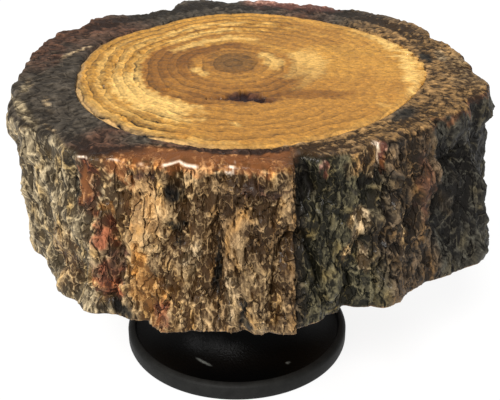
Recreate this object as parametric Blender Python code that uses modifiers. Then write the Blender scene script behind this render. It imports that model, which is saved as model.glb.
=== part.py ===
"""A slice of a branch with its bark on, standing on a dark turned foot.

The slice is one grown piece: sawn flat above and below, with ribbed and furrowed bark round it.
A steel stud ties it to the foot. The origin is the middle of the foot's underside, +Z is up and
the side with the step in its bark faces -Y. Sizes are in metres unless a name or a comment says
otherwise.
"""

import math

import bmesh
import bpy
from mathutils import Vector, noise

MM = 0.001

# The slice
TOP_HEIGHT = 32.0 * MM
SLICE_THICKNESS = 16.5 * MM
UNDERSIDE_HEIGHT = TOP_HEIGHT - SLICE_THICKNESS
SLICE_MIDDLE = (1.5 * MM, 0.5 * MM)

# Outlines round the middle of the slice, as (degrees from +X, millimetres)
TOP_EDGE = (
    (0, 23.2), (16, 21.7), (30, 22.5), (46, 22.8), (70, 22.6), (93, 22.1), (104, 23.3),
    (118, 22.4), (134, 22.8), (148, 23.7), (165, 23.5), (177, 22.5), (190, 23.2), (202, 24.6),
    (215, 24.2), (226, 24.3), (234, 25.2), (241, 23.3), (249, 22.3), (262, 21.6), (279, 21.6),
    (288, 21.4), (296, 21.3), (310, 21.0), (329, 20.9), (340, 22.4), (350, 23.3),
)
UNDER_EDGE = (
    (0, 25.0), (20, 23.6), (45, 23.0), (75, 22.6), (100, 23.0), (125, 22.4), (150, 23.1),
    (175, 23.0), (195, 23.0), (210, 23.1), (219, 23.9), (232, 24.0), (243, 23.4), (251, 23.6),
    (262, 22.8), (270, 22.6), (278, 23.0), (285, 22.2), (293, 21.2), (303, 21.8), (316, 21.9),
    (328, 23.2), (338, 24.7), (347, 25.5),
)
WOOD_EDGE = (
    (0, 17.6), (25, 17.6), (45, 17.3), (63, 17.3), (86, 18.1), (109, 18.1), (130, 17.2),
    (156, 17.7), (180, 17.2), (205, 17.8), (225, 18.3), (250, 18.7), (270, 18.8), (290, 17.7),
    (310, 17.1), (335, 16.8),
)

# Bark relief
RIB_WIDTH = 3.4 * MM
RIB_HEIGHT = 1.7 * MM
RIB_STRETCH = 0.28
FURROW_SPACING = 6.5 * MM
FURROW_DEPTH = 1.3 * MM
FURROW_STRETCH = 0.34
FURROW_NARROWNESS = 5.0
PLATE_SIZE = 2.1 * MM
PLATE_HEIGHT = 1.0 * MM
EDGE_SHARE = 0.4

# Deep places in the bark, as (degrees, height, half width in degrees, half height, depth)
HOLLOWS = (
    (283.2, 28.6 * MM, 2.8, 2.8 * MM, 1.5 * MM),
    (262.3, 21.4 * MM, 1.6, 4.2 * MM, 0.9 * MM),
    (268.8, 17.4 * MM, 1.8, 2.6 * MM, 1.0 * MM),
    (252.5, 28.5 * MM, 2.2, 1.4 * MM, 0.9 * MM),
    (253.2, 25.0 * MM, 2.2, 2.0 * MM, 0.9 * MM),
    (230.4, 28.6 * MM, 1.8, 2.8 * MM, 1.0 * MM),
    (238.0, 16.6 * MM, 4.5, 1.5 * MM, 1.2 * MM),
    (295.0, 17.6 * MM, 2.0, 3.2 * MM, 0.9 * MM),
    (324.5, 26.4 * MM, 2.2, 4.5 * MM, 1.3 * MM),
    (336.0, 24.0 * MM, 2.0, 4.0 * MM, 1.0 * MM),
    (208.0, 25.5 * MM, 2.0, 4.0 * MM, 0.8 * MM),
)
# The bark steps in just past this bearing and comes back out over the next few degrees
STEP_BEARING = 280.2
STEP_DEPTH = 0.9 * MM
STEP_RECOVERY = 8.0

# The sawn faces
CAMBIUM_DEPTH = 0.35 * MM
CAMBIUM_WIDTH = 0.4 * MM
CUT_BARK_DROP = 0.25 * MM
CUT_BARK_ROUGHNESS = 0.3 * MM
RIM_ROUNDING = 1.1 * MM
FLAT_UNDERSIDE_SHARE = 0.62
PITH_CHECK_MIDDLE = (1.1 * MM, -7.0 * MM)
PITH_CHECK_DEPTH = 0.8 * MM
PITH_CHECK_ABOVE = 1.2
PITH_CHECK_BELOW = 0.6
# A small star-shaped crack, as (millimetres in X, millimetres in Y)
PITH_CHECK = (
    (-1.7, -0.25), (-0.5, 0.15), (-0.1, 1.0), (0.3, 0.25), (1.5, -0.1), (1.7, -0.7),
    (0.5, -0.45), (-0.4, -0.35),
)

# Mesh fineness of the slice
BEARINGS = 168
WALL_ROWS = 12
CUT_BARK_SHARES = (0.3, 0.6, 0.85)
WOOD_SHARES = (0.45, 0.8)

# The foot, turned
FOOT_RADIUS = 12.35 * MM
RIM_HEIGHT = 1.9 * MM
RIM_TOP_RADIUS = 11.9 * MM
RIM_INNER_RADIUS = 11.4 * MM
RIM_BEVEL = 0.3 * MM
DISH_DEPTH = 0.4 * MM
NECK_RADIUS = 6.0 * MM
NECK_HEIGHT = 8.6 * MM
FLANGE_RADIUS = 9.0 * MM
FLANGE_THICKNESS = 1.0 * MM
SWEEP_POINTS = 7
FOOT_STEPS = 64

# The stud and what keeps it clear
CLEARANCE = 0.3 * MM
FOOT_TOP = UNDERSIDE_HEIGHT - CLEARANCE
STUD_RADIUS = 2.0 * MM
STUD_CHAMFER = 0.4 * MM
STUD_BOTTOM = 5.0 * MM
STUD_TOP = 23.0 * MM
STUD_STEPS = 32
BORE_RADIUS = STUD_RADIUS + CLEARANCE

MERGE_DISTANCE = 0.00001


def clear_scene():
    """Remove what the scene starts with."""
    for obj in list(bpy.data.objects):
        bpy.data.objects.remove(obj, do_unlink=True)


def new_collection(name):
    """Add a collection to the scene."""
    collection = bpy.data.collections.new(name)
    bpy.context.scene.collection.children.link(collection)
    return collection


def principled(name, colour, roughness, metallic=0.0, coat=0.0):
    """Make a Principled material."""
    material = bpy.data.materials.new(name)
    material.use_nodes = True
    shader = material.node_tree.nodes["Principled BSDF"]
    shader.inputs["Base Color"].default_value = (*colour, 1.0)
    shader.inputs["Roughness"].default_value = roughness
    shader.inputs["Metallic"].default_value = metallic
    shader.inputs["Coat Weight"].default_value = coat
    return material


def add_object(name, mesh, collection, materials=()):
    """Place a mesh in a collection."""
    for material in materials:
        mesh.materials.append(material)
    obj = bpy.data.objects.new(name, mesh)
    collection.objects.link(obj)
    return obj


def outline(points, bearing):
    """Radius of a closed outline at a bearing, on a smooth curve through its points."""
    count = len(points)
    bearing %= 360.0
    index = max((i for i in range(count) if points[i][0] <= bearing), default=count - 1)
    near = [points[(index + step) % count] for step in (-1, 0, 1, 2)]
    span = (near[2][0] - near[1][0]) % 360.0
    share = ((bearing - near[1][0]) % 360.0) / span
    before = (near[1][0] - near[0][0]) % 360.0
    after = (near[3][0] - near[2][0]) % 360.0
    slope_in = (near[2][1] - near[0][1]) / (before + span) * span
    slope_out = (near[3][1] - near[1][1]) / (span + after) * span
    square = share * share
    cube = square * share
    radius = (
        (2.0 * cube - 3.0 * square + 1.0) * near[1][1]
        + (cube - 2.0 * square + share) * slope_in
        + (3.0 * square - 2.0 * cube) * near[2][1]
        + (cube - square) * slope_out
    )
    return radius * MM


def turned_from(bearing, middle):
    """Degrees from one bearing to another, between -180 and 180."""
    return (bearing - middle + 180.0) % 360.0 - 180.0


def bark_relief(bearing, radius, height):
    """How far the bark stands out: long ribs, narrow furrows and small plates."""
    angle = math.radians(bearing)
    x = math.cos(angle) * radius
    y = math.sin(angle) * radius
    rib = noise.noise(Vector((x, y, height * RIB_STRETCH)) / RIB_WIDTH)
    line = noise.noise(Vector((y, x, height * FURROW_STRETCH)) / FURROW_SPACING)
    furrow = max(0.0, 1.0 - abs(line) * FURROW_NARROWNESS)
    plate = noise.noise(Vector((x, y, height)) / PLATE_SIZE)
    return RIB_HEIGHT * rib + PLATE_HEIGHT * plate - FURROW_DEPTH * furrow * furrow


def hollows(bearing, height):
    """Depth of the named deep places and of the step."""
    depth = 0.0
    for middle, level, half_width, half_height, deepest in HOLLOWS:
        across = turned_from(bearing, middle) / half_width
        along = (height - level) / half_height
        depth += deepest * math.exp(-(across ** 2) - along ** 4)
    past = turned_from(bearing, STEP_BEARING)
    if past > 0.0:
        depth += STEP_DEPTH * math.exp(-past / STEP_RECOVERY)
    return depth


def wall_radius(bearing, height):
    """Radius of the bark's outside."""
    share = (height - UNDERSIDE_HEIGHT) / SLICE_THICKNESS
    top = outline(TOP_EDGE, bearing)
    under = outline(UNDER_EDGE, bearing)
    radius = under + (top - under) * share
    middle = 1.0 - abs(2.0 * share - 1.0) ** 4
    strength = EDGE_SHARE + (1.0 - EDGE_SHARE) * middle
    return radius + strength * bark_relief(bearing, radius, height) - hollows(bearing, height)


def slice_point(bearing, radius, height):
    """A point round the middle of the slice."""
    angle = math.radians(bearing)
    x = SLICE_MIDDLE[0] + radius * math.cos(angle)
    y = SLICE_MIDDLE[1] + radius * math.sin(angle)
    return (x, y, height)


def cut_bark_height(bearing, radius, share):
    """Height of the bark's sawn ring, which is rough and sinks a little towards the outside."""
    x, y, _ = slice_point(bearing, radius, 0.0)
    rough = noise.noise(Vector((x, y, 0.0)) / RIB_WIDTH)
    return TOP_HEIGHT - CUT_BARK_DROP * (0.4 + share) + CUT_BARK_ROUGHNESS * rough * share


def slice_column(bearing):
    """One line of points from the wood's middle, over the rim, down the bark and under it."""
    wood = outline(WOOD_EDGE, bearing)
    rim_level = TOP_HEIGHT - RIM_ROUNDING
    foot_level = UNDERSIDE_HEIGHT + 0.5 * RIM_ROUNDING
    rim = wall_radius(bearing, rim_level)
    column = [(wood * share, TOP_HEIGHT) for share in WOOD_SHARES]
    column.append((wood, TOP_HEIGHT))
    column.append((wood + CAMBIUM_WIDTH, TOP_HEIGHT - CAMBIUM_DEPTH))
    for share in CUT_BARK_SHARES:
        radius = wood + (rim - wood) * share
        column.append((radius, cut_bark_height(bearing, radius, share)))
    corner = rim - 0.3 * RIM_ROUNDING
    column.append((corner, cut_bark_height(bearing, corner, 1.0) - 0.35 * RIM_ROUNDING))
    for row in range(WALL_ROWS + 1):
        level = rim_level + (foot_level - rim_level) * row / WALL_ROWS
        column.append((wall_radius(bearing, level), level))
    lowest = wall_radius(bearing, foot_level)
    column.append((lowest - 0.5 * RIM_ROUNDING, UNDERSIDE_HEIGHT))
    column.append((lowest * FLAT_UNDERSIDE_SHARE, UNDERSIDE_HEIGHT))
    return [slice_point(bearing, radius, level) for radius, level in column]


def slice_mesh():
    """Loft the columns into one closed body, with a flat face at each end."""
    mesh = bpy.data.meshes.new("bark_slice")
    body = bmesh.new()
    columns = []
    for step in range(BEARINGS):
        bearing = 360.0 * step / BEARINGS
        columns.append([body.verts.new(point) for point in slice_column(bearing)])
    for step in range(BEARINGS):
        here = columns[step]
        there = columns[(step + 1) % BEARINGS]
        for row in range(len(here) - 1):
            body.faces.new((here[row], here[row + 1], there[row + 1], there[row]))
    body.faces.new([column[0] for column in columns])
    body.faces.new([column[-1] for column in reversed(columns)])
    bmesh.ops.recalc_face_normals(body, faces=body.faces)
    body.to_mesh(mesh)
    body.free()
    return mesh


def cylinder_cutter(name, radius, bottom, top, collection):
    """A hidden upright cylinder on the foot's axis."""
    mesh = bpy.data.meshes.new(name)
    body = bmesh.new()
    bmesh.ops.create_cone(
        body, cap_ends=True, segments=STUD_STEPS, radius1=radius, radius2=radius,
        depth=top - bottom,
    )
    bmesh.ops.translate(body, verts=body.verts, vec=(0.0, 0.0, (top + bottom) / 2.0))
    body.to_mesh(mesh)
    body.free()
    return hidden_cutter(name, mesh, collection)


def check_cutter(name, collection):
    """A hidden star-shaped wedge for the crack in the wood, narrower at its foot."""
    mesh = bpy.data.meshes.new(name)
    body = bmesh.new()
    loops = []
    for side, spread in ((1.0, PITH_CHECK_ABOVE), (-1.0, PITH_CHECK_BELOW)):
        level = TOP_HEIGHT + side * PITH_CHECK_DEPTH
        loop = []
        for x, y in PITH_CHECK:
            place = Vector((x, y, 0.0)) * MM * spread
            place += Vector((*PITH_CHECK_MIDDLE, level))
            loop.append(body.verts.new(place))
        loops.append(loop)
    count = len(PITH_CHECK)
    for index in range(count):
        after = (index + 1) % count
        body.faces.new((loops[0][index], loops[0][after], loops[1][after], loops[1][index]))
    for loop in loops:
        body.faces.new(loop)
    bmesh.ops.recalc_face_normals(body, faces=body.faces)
    body.to_mesh(mesh)
    body.free()
    return hidden_cutter(name, mesh, collection)


def hidden_cutter(name, mesh, collection):
    """Place a cutter, which the render leaves out."""
    cutter = add_object(name, mesh, collection)
    cutter.hide_render = True
    cutter.display_type = "WIRE"
    return cutter


def cut(obj, cutter):
    """Take a cutter's shape out of an object."""
    modifier = obj.modifiers.new(cutter.name, "BOOLEAN")
    modifier.operation = "DIFFERENCE"
    modifier.solver = "EXACT"
    modifier.object = cutter


def turned(name, profile, steps, collection, material):
    """Turn a profile of (radius, height) points round the upright axis."""
    mesh = bpy.data.meshes.new(name)
    body = bmesh.new()
    verts = [body.verts.new((radius, 0.0, height)) for radius, height in profile]
    for start, end in zip(verts, verts[1:]):
        body.edges.new((start, end))
    body.to_mesh(mesh)
    body.free()
    obj = add_object(name, mesh, collection, (material,))
    screw = obj.modifiers.new("Turning", "SCREW")
    screw.axis = "Z"
    screw.angle = math.tau
    screw.steps = steps
    screw.render_steps = steps
    screw.use_merge_vertices = True
    screw.merge_threshold = MERGE_DISTANCE
    screw.use_smooth_shade = True
    return obj


def sweep(start, end, middle):
    """A quarter of an ellipse from one point to another round a middle, without its first point."""
    points = []
    centre = Vector(middle)
    for step in range(1, SWEEP_POINTS + 1):
        angle = math.pi / 2.0 * step / SWEEP_POINTS
        from_start = (Vector(start) - centre) * math.cos(angle)
        from_end = (Vector(end) - centre) * math.sin(angle)
        points.append(tuple(centre + from_start + from_end))
    return points


def foot_profile():
    """The bore, the flange, the hollow sweep down to the rim, and the flat underside."""
    bore_floor = STUD_BOTTOM - CLEARANCE
    flange_under = FOOT_TOP - FLANGE_THICKNESS
    dish = RIM_HEIGHT - DISH_DEPTH
    neck = (NECK_RADIUS, NECK_HEIGHT)
    profile = [(0.0, bore_floor), (BORE_RADIUS, bore_floor), (BORE_RADIUS, FOOT_TOP)]
    profile += [(FLANGE_RADIUS - RIM_BEVEL, FOOT_TOP), (FLANGE_RADIUS, FOOT_TOP - RIM_BEVEL)]
    profile.append((FLANGE_RADIUS, flange_under))
    profile += sweep(profile[-1], neck, (FLANGE_RADIUS, NECK_HEIGHT))
    profile += sweep(neck, (RIM_INNER_RADIUS, dish), (RIM_INNER_RADIUS, NECK_HEIGHT))
    profile += [(RIM_INNER_RADIUS + 0.5 * RIM_BEVEL, RIM_HEIGHT), (RIM_TOP_RADIUS, RIM_HEIGHT)]
    profile += [(FOOT_RADIUS, RIM_HEIGHT - RIM_BEVEL), (FOOT_RADIUS, RIM_BEVEL)]
    profile += [(FOOT_RADIUS - RIM_BEVEL, 0.0), (0.0, 0.0)]
    return profile


def stud_profile():
    """A plain rod with chamfered ends."""
    neck = STUD_RADIUS - STUD_CHAMFER
    return [
        (0.0, STUD_TOP), (neck, STUD_TOP), (STUD_RADIUS, STUD_TOP - STUD_CHAMFER),
        (STUD_RADIUS, STUD_BOTTOM + STUD_CHAMFER), (neck, STUD_BOTTOM), (0.0, STUD_BOTTOM),
    ]


def shade(obj, angle):
    """Shade a mesh smooth, with the sharper edges kept."""
    obj.data.shade_smooth()
    obj.data.set_sharp_from_angle(angle=math.radians(angle))


def paint_slice(obj, bark, wood):
    """Give the sawn wood above and the sawn underside the wood's material and the rest the bark's."""
    obj.data.materials.append(bark)
    obj.data.materials.append(wood)
    for face in obj.data.polygons:
        x, y, z = face.center
        x -= SLICE_MIDDLE[0]
        y -= SLICE_MIDDLE[1]
        edge = outline(WOOD_EDGE, math.degrees(math.atan2(y, x)))
        if abs(face.normal.z) > 0.99 and math.hypot(x, y) < edge:
            face.material_index = 1


def build():
    """Make the slice, the foot and the stud."""
    clear_scene()
    parts = new_collection("branch_slice_on_foot")
    cutters = new_collection("cutters")
    bark = principled("lacquered bark", (0.10, 0.065, 0.035), 0.45, coat=0.4)
    wood = principled("lacquered wood", (0.62, 0.36, 0.12), 0.4, coat=0.3)
    paint = principled("black painted metal", (0.012, 0.012, 0.014), 0.3, metallic=0.2)
    steel = principled("steel", (0.55, 0.55, 0.56), 0.35, metallic=1.0)

    branch = add_object("bark_slice", slice_mesh(), parts)
    paint_slice(branch, bark, wood)
    shade(branch, 40.0)
    bore = cylinder_cutter(
        "slice_bore", BORE_RADIUS, UNDERSIDE_HEIGHT - 5.0 * MM, STUD_TOP + CLEARANCE, cutters
    )
    cut(branch, bore)
    cut(branch, check_cutter("pith_check", cutters))

    turned("foot", foot_profile(), FOOT_STEPS, parts, paint)
    turned("fixing_stud", stud_profile(), STUD_STEPS, parts, steel)


build()
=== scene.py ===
"""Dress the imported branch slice: fine bark, sawn wood with its rings, and the turned foot's paint."""

import math

import bpy
import numpy as np
from mathutils import Euler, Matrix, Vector, noise


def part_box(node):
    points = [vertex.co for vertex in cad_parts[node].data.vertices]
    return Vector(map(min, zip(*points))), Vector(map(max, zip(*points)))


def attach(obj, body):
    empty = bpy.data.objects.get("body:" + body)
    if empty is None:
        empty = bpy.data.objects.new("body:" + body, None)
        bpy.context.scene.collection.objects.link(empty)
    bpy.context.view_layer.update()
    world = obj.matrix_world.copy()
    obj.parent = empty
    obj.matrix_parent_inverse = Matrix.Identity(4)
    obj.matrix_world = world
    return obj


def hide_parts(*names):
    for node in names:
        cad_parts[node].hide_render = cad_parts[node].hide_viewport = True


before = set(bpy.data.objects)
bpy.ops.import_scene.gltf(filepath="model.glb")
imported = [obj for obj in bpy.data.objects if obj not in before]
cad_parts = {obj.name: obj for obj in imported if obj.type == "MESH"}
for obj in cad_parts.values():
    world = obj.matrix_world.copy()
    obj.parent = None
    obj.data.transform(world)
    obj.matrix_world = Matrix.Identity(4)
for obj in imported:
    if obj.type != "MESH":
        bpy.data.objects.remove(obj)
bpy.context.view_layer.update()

bl_info = {
    "name": "Branch Slice Finish",
    "version": (1, 0, 0),
    "blender": (4, 5, 0),
    "location": "View3D > Sidebar > Branch Slice",
    "description": "Bark, sawn wood and foot for a branch slice, with its stage",
    "category": "Object",
}

MM = 0.001
SLICE_LOW, SLICE_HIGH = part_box("bark_slice")

# Sizes in millimetres, read from the frame, and the slice's middle
TOP = SLICE_HIGH.z / MM
UNDER = SLICE_LOW.z / MM
THICKNESS = TOP - UNDER
FOOT_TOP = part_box("foot")[1].z / MM
FOOT_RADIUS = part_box("foot")[1].x / MM
MIDDLE = np.array([1.5, 0.5])

# The slice's outlines round its middle, as (degrees from +X, millimetres)
TOP_EDGE = (
    (0, 23.2), (16, 21.7), (30, 22.5), (46, 22.8), (70, 22.6), (93, 22.1), (104, 23.3), (118, 22.4),
    (134, 22.8), (148, 23.7), (165, 23.5), (177, 22.5), (190, 23.2), (202, 24.6), (215, 24.2),
    (226, 24.3), (234, 25.2), (241, 23.3), (249, 22.3), (262, 21.6), (279, 21.6), (288, 21.4),
    (296, 21.3), (310, 21), (329, 20.9), (340, 22.4), (350, 23.3),
)
UNDER_EDGE = (
    (0, 25), (20, 23.6), (45, 23), (75, 22.6), (100, 23), (125, 22.4), (150, 23.1), (175, 23),
    (195, 23), (210, 23.1), (219, 23.9), (232, 24), (243, 23.4), (251, 23.6), (262, 22.8), (270, 22.6),
    (278, 23), (285, 22.2), (293, 21.2), (303, 21.8), (316, 21.9), (328, 23.2), (338, 24.7),
    (347, 25.5),
)
WOOD_EDGE = (
    (0, 17.6), (25, 17.6), (45, 17.3), (63, 17.3), (86, 18.1), (109, 18.1), (130, 17.2), (156, 17.7),
    (180, 17.2), (205, 17.8), (225, 18.3), (250, 18.7), (270, 18.8), (290, 17.7), (310, 17.1),
    (335, 16.8),
)

# The bark's main relief, in millimetres: the solid's, with lower plates and a smoother cut
RIB_WIDTH = 3.4
RIB_HEIGHT = 1.7
RIB_STRETCH = 0.28
FURROW_SPACING = 6.5
FURROW_DEPTH = 1.3
FURROW_STRETCH = 0.34
FURROW_NARROWNESS = 5.0
PLATE_SIZE = 2.1
PLATE_HEIGHT = 0.75
EDGE_SHARE = 0.4
RIM_ROUNDING = 1.1
CUT_DROP = 0.25
CUT_ROUGHNESS = 0.2
STEP_BEARING = 280.2
STEP_DEPTH = 0.9
STEP_RECOVERY = 8.0
UNDER_ROUNDING = 0.3
# How far the bark's two hidden edges reach under the wood
TUCK = 0.5

# Stretches of bearings in degrees, as (starting, full, fading, gone)
BACK_OF_CUT = (5, 30, 195, 215)
BACK_OF_RIM = (5, 30, 190, 215)
ROUNDED_RIM = (240, 246, 279, 282)
WORN_RIM = (215, 235, 282, 300)

# Deep places and, with a depth below zero, swells, as (degrees, height, half width in degrees,
# half height, depth): the first eleven are the solid's too, the rest are trims of the outline
HOLLOWS = (
    (283, 28.9, 3.2, 2.6, 1.6), (262.3, 21.4, 1.6, 4.2, 0.9), (268.8, 17.4, 1.8, 2.6, 1),
    (252.5, 28.5, 2.2, 1.4, 0.9), (253.2, 25, 2.2, 2, 0.9), (229.6, 28.6, 1.6, 2.8, 0.9),
    (238, 16.6, 4.5, 1.5, 1.2), (295, 17.6, 2, 3.2, 0.9), (324.5, 26.4, 2.2, 4.5, 1.3),
    (336, 24, 2, 4, 1), (208, 25.5, 2, 4, 0.8), (120, 31, 22, 6, -0.6), (178, 31, 14, 3, -0.6),
    (200, 24, 13, 4, 0.5), (350, 26.1, 10, 2, 0.9), (352, 20.5, 14, 4, 0.8), (14, 31, 9, 3, -0.9),
    (235, 16.2, 7, 2.5, -1), (275, 16, 30, 3, -0.45), (315, 16, 18, 3, -0.5), (65, 31, 40, 4, -0.45),
    (206, 19, 10, 2.5, 0.15), (331, 16, 7, 2, -0.6), (107, 31, 9, 5, -0.4),
)

# Sizes of the fine bark's patches in millimetres, upright ones longer than they are wide
FLAKE_SIZE = (0.68, 0.68, 1.6)
CURL_SIZE = (1.0, 1.0, 1.9)
SMALL_CURL_SIZE = (0.55, 0.55, 1.05)
SPLIT_SIZE = (0.9, 0.9, 4.0)
FINE_RIB_SIZE = (0.62, 0.62, 6.0)
GRAIN_SIZE = (0.28, 0.28, 0.6)
PATCH_SIZE = (1.9, 1.9, 4.2)
BARK_LIGHT = 0.268
# How far flakes, curls, small curls, splits, grain and ribs stand out, and how much lighter they are
BARK_HEIGHTS = (0.4, 0.28, 0.16, -0.4, 0.1, 0.55)
BARK_LIGHTS = (0.16, 0.5, 0.36, -0.4, 0.14, 0.22)

# The part of the rim that is worn and the part that has painted highlight strokes, by tilt in degrees
WORN_TILT = (8.0, 25.0, 80.0, 89.0)
PAINTED_GLINT_TILT = (22.0, 30.0)
# Smooth lacquered stretches of the rim, where the painted highlight strokes also go, as (degrees, half
# width)
GLAZED = ((232.6, 1.6), (239.6, 0.6), (245.4, 0.5), (254.0, 3.9), (265.6, 0.9))

# Bark tones, as the colour of its hollows and the colour of its ridges
TONES = {
    "flaky": ((0.052, 0.026, 0.009), (0.670, 0.445, 0.212)),
    "grey": ((0.050, 0.036, 0.019), (0.590, 0.460, 0.270)),
    "olive": ((0.006, 0.006, 0.003), (0.165, 0.140, 0.075)),
    "black": ((0.002, 0.0015, 0.001), (0.044, 0.038, 0.027)),
    "shaded": ((0.001, 0.001, 0.001), (0.085, 0.078, 0.058)),
    "russet": ((0.010, 0.006, 0.003), (0.185, 0.118, 0.064)),
    "red": ((0.046, 0.013, 0.006), (0.450, 0.152, 0.070)),
    "orange": ((0.170, 0.060, 0.018), (0.820, 0.400, 0.150)),
    "gold": ((0.150, 0.064, 0.016), (0.700, 0.370, 0.120)),
    "brown": ((0.034, 0.017, 0.006), (0.430, 0.266, 0.124)),
    "middling": ((0.040, 0.020, 0.007), (0.520, 0.346, 0.166)),
    "tan": ((0.070, 0.044, 0.020), (0.800, 0.580, 0.330)),
    "charcoal": ((0.016, 0.012, 0.008), (0.122, 0.098, 0.071)),
    "rust": ((0.022, 0.010, 0.006), (0.190, 0.090, 0.052)),
    "umber": ((0.009, 0.006, 0.004), (0.175, 0.120, 0.070)),
    "cut_tan": ((0.030, 0.016, 0.006), (0.520, 0.295, 0.110)),
    "amber": ((0.075, 0.032, 0.010), (0.760, 0.455, 0.190)),
    # The next tone paints pale strokes in place of the lacquer's glints: painted highlights
    "painted_glint": ((0.620, 0.460, 0.320), (0.980, 0.920, 0.820)),
    "rose": ((0.110, 0.040, 0.028), (0.700, 0.360, 0.260)),
}
# The wall's tones all round it, as (degrees, tone)
WALL_TONES = (
    (200, "grey"), (222, "grey"), (233, "grey"), (243, "flaky"), (256, "flaky"), (264, "brown"),
    (269, "middling"), (275, "middling"), (279.8, "brown"), (280.4, "umber"), (284, "olive"),
    (300, "olive"), (306, "umber"), (313, "russet"), (319, "russet"), (323, "shaded"), (350, "shaded"),
    (20, "olive"), (50, "grey"), (80, "flaky"), (120, "brown"), (150, "flaky"), (178, "grey"),
)
# How flaky and how ribbed the bark is all round, as (degrees, share)
FLAKED = (
    (190, 0.4), (212, 0.45), (228, 0.6), (240, 0.9), (250, 1), (278, 1), (284, 0.7), (300, 0.8),
    (312, 0.7), (330, 0.5), (350, 0.4), (20, 0.5), (60, 0.8), (120, 0.8), (170, 0.5),
)
RIBBED = (
    (200, 0.7), (228, 0.6), (240, 0.15), (278, 0.15), (284, 0.6), (298, 0.5), (304, 1.3), (340, 1.5),
    (355, 1.1), (30, 0.8), (60, 0.3), (120, 0.3), (160, 0.6),
)
# Marks on the wall, as (degrees, height, half width in degrees, half height, tone), some of them
# painted shade and painted highlights
WALL_MARKS = (
    (246, 27, 4.4, 3.2, "amber"), (233.4, 28.6, 2.5, 3.4, "red"), (232.7, 28.6, 1.3, 1.9, "orange"),
    (239.3, 30.6, 2.8, 0.9, "orange"), (242, 29.6, 2, 1, "orange"), (237.3, 24.2, 2.2, 1.7, "red"),
    (237.6, 19.2, 3, 2.6, "red"), (239.6, 21.6, 1.6, 1.4, "rust"), (234, 18.6, 0.8, 2.2, "tan"),
    (237.6, 26.6, 1.8, 0.6, "gold"), (244.6, 20.6, 3, 3.2, "gold"), (248.2, 18.2, 3, 2.4, "gold"),
    (250, 17, 2.4, 1.2, "red"), (248.6, 16.4, 1.2, 0.6, "orange"), (259, 31.2, 20, 0.65, "orange"),
    # The black marks here and below lie in the deep hollows, furrows, the bottom notch and the step's
    # recess: painted shade there
    (263.6, 30.7, 1, 0.5, "tan"), (252.6, 28.4, 1.6, 1, "black"), (253.2, 25, 1.6, 1.5, "black"),
    (262.3, 21, 0.9, 3.4, "black"), (268.9, 17.4, 1, 2, "black"), (229.6, 28.8, 1, 2.8, "black"),
    (283.2, 29, 2.7, 2.3, "black"), (272.5, 29.3, 6, 0.6, "rust"), (247, 30.2, 3, 0.6, "rust"),
    # The rose marks at 287 to 305 degrees, the small orange one at 305 degrees and the pale strokes at
    # 265.8 and 303.4 degrees are painted highlights of the lacquer
    (266, 27, 5, 2, "brown"), (274, 25, 4, 2.4, "brown"), (303.6, 30.6, 1.7, 1.2, "rose"),
    (302, 29, 1.5, 0.9, "tan"), (297.5, 24.6, 3.4, 1.6, "tan"), (299.5, 20.6, 1.7, 1.2, "tan"),
    (294, 22.4, 1.6, 0.8, "tan"), (300.5, 28.2, 10, 0.35, "black"), (317, 26, 1.8, 3.6, "rust"),
    (312.8, 22, 0.6, 4.6, "black"), (308.5, 24, 0.5, 4.4, "black"), (316.5, 18.6, 2.6, 2.4, "umber"),
    (326, 27, 1.2, 5, "black"), (333, 25, 1, 5, "black"), (330, 22.6, 2, 1.4, "charcoal"),
    (300, 30.4, 8, 1.3, "brown"), (239, 16.3, 5, 0.9, "black"), (287.4, 30.6, 0.8, 0.9, "rose"),
    (311, 24, 0.8, 5, "tan"), (257, 22.5, 2, 2, "tan"), (266, 19.5, 1.6, 2.4, "tan"),
    (224, 20, 5, 3.4, "flaky"), (303.4, 30.4, 0.8, 1.3, "painted_glint"), (265.8, 30.6, 1, 0.4, "painted_glint"),
    (304.6, 30.2, 1, 1.5, "rose"), (305.4, 29.8, 0.5, 1, "orange"), (195, 31.8, 32, 0.8, "charcoal"),
    (352, 31.8, 30, 0.9, "cut_tan"), (350, 31.2, 30, 0.4, "rust"), (120, 24, 5, 4, "orange"),
    (60, 20, 4, 4, "red"), (160, 22, 4, 5, "gold"), (95, 28, 6, 2, "red"),
)
# Lighter and darker places on the wall, as in WALL_MARKS with an amount in place of the tone
WALL_LIGHT = (
    (246, 26.5, 5, 3.4, 0.36), (243, 23.6, 3, 1.6, 0.12), (257.5, 22.6, 4.2, 2.6, 0.24),
    (265, 26.4, 3.4, 3.4, 0.28), (272.6, 27.6, 4.6, 3.8, -0.66), (273.5, 19.5, 5, 3.4, -0.26),
    (252.5, 17, 4, 2.2, -0.12), (314.5, 24, 4.5, 8, -0.3), (340, 24, 14, 9, -0.12),
    (290, 22, 6, 4, -0.06), (226.5, 17.6, 4, 1.4, -0.08),
)
# Painted shade for each millimetre of depth, and the sawn ring's less shaded sides, as (degrees,
# degrees back, degrees on, share of the painted shade taken off)
RECESS_SHADE = 0.3
LESS_SHADED_SIDES = ((352.0, -60.0, 40.0, 0.6), (190.0, -45.0, 38.0, 0.8))
# The sawn bark's tones all round it, as (degrees, tone beside the wood, tone at the rim)
CUT_TONES = (
    (0, "cut_tan", "middling"), (18, "cut_tan", "cut_tan"), (40, "cut_tan", "brown"),
    (58, "charcoal", "charcoal"), (70, "rust", "rose"), (84, "charcoal", "rose"),
    (94, "charcoal", "charcoal"), (125, "charcoal", "charcoal"), (140, "rust", "rust"),
    (170, "charcoal", "rust"), (185, "charcoal", "charcoal"), (222, "charcoal", "charcoal"),
    (232, "rust", "rust"), (239, "charcoal", "rust"), (244, "charcoal", "orange"),
    (262, "brown", "orange"), (278, "brown", "orange"), (283, "brown", "brown"),
    (292, "cut_tan", "brown"), (306, "cut_tan", "cut_tan"), (315, "cut_tan", "cut_tan"),
    (321, "charcoal", "cut_tan"), (328, "cut_tan", "cut_tan"), (345, "cut_tan", "cut_tan"),
)

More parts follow.
